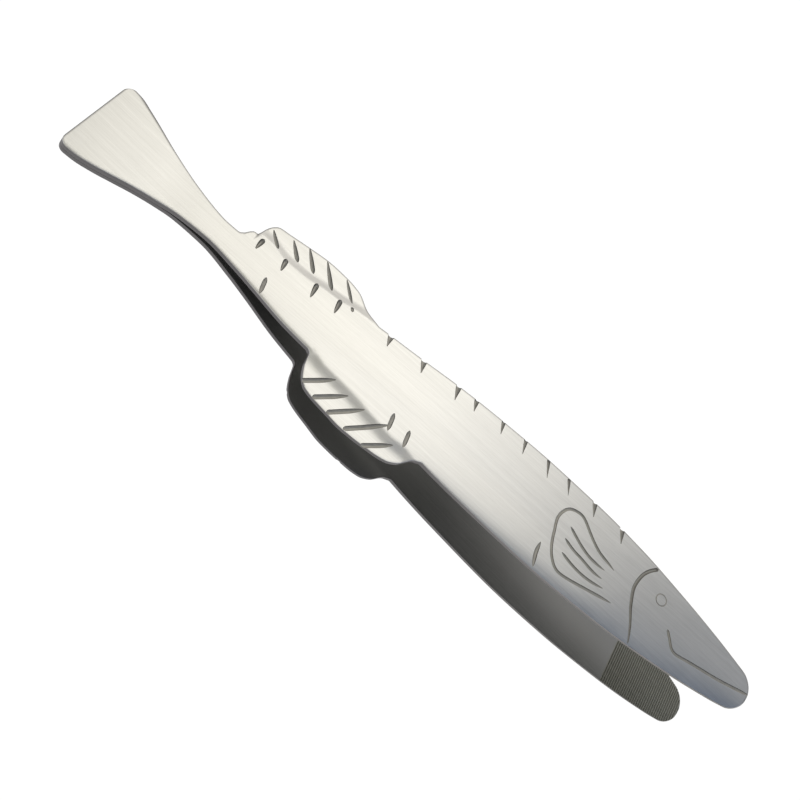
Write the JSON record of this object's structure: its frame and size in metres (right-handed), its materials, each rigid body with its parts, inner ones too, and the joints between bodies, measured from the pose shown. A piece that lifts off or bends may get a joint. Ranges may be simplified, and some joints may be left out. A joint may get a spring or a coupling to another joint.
{
  "type": "fish bone tweezers",
  "caption": "Fish-shaped spring tweezers: two mirrored steel arms joined at the tail fin and open at the nose, with cross-cut gripping faces for pulling fish bones.",
  "frame": {"origin": "centre of the bounding box, on the middle plane between the two arms", "axes": "+X from the tail fin to the nose, +Y from the belly to the back, +Z from the lower arm to the upper arm"},
  "size_m": [0.1498, 0.0238, 0.0198],
  "materials": {
    "arm_steel": "stainless steel, satin, brushed along the length, with dark engraved marks",
    "weld_steel": "bare weld metal, dull"
  },
  "bodies": {
    "tail": {"upper_tail_leaf": "arm_steel", "lower_tail_leaf": "arm_steel", "tail_end_spot_weld": "weld_steel", "neck_spot_weld": "weld_steel"},
    "upper_arm": {"upper_arm": "arm_steel"},
    "lower_arm": {"lower_arm": "arm_steel"}
  },
  "joints": [
    {"name": "upper_arm_squeeze", "type": "hinge", "parent": "tail", "child": "upper_arm", "pos_m": [-0.04435, 0.00095, 0.00117], "axis": [0, 1, 0], "range_deg": [0, 4.25], "stiffness_Nm_per_rad": 6},
    {"name": "lower_arm_squeeze", "type": "hinge", "parent": "tail", "child": "lower_arm", "pos_m": [-0.04435, 0.00095, -0.00117], "axis": [0, -1, 0], "range_deg": [0, 4.25], "stiffness_Nm_per_rad": 6}
  ],
  "couplings": [
    {"joint": "lower_arm_squeeze", "follows": "upper_arm_squeeze", "ratio": 1}
  ]
}
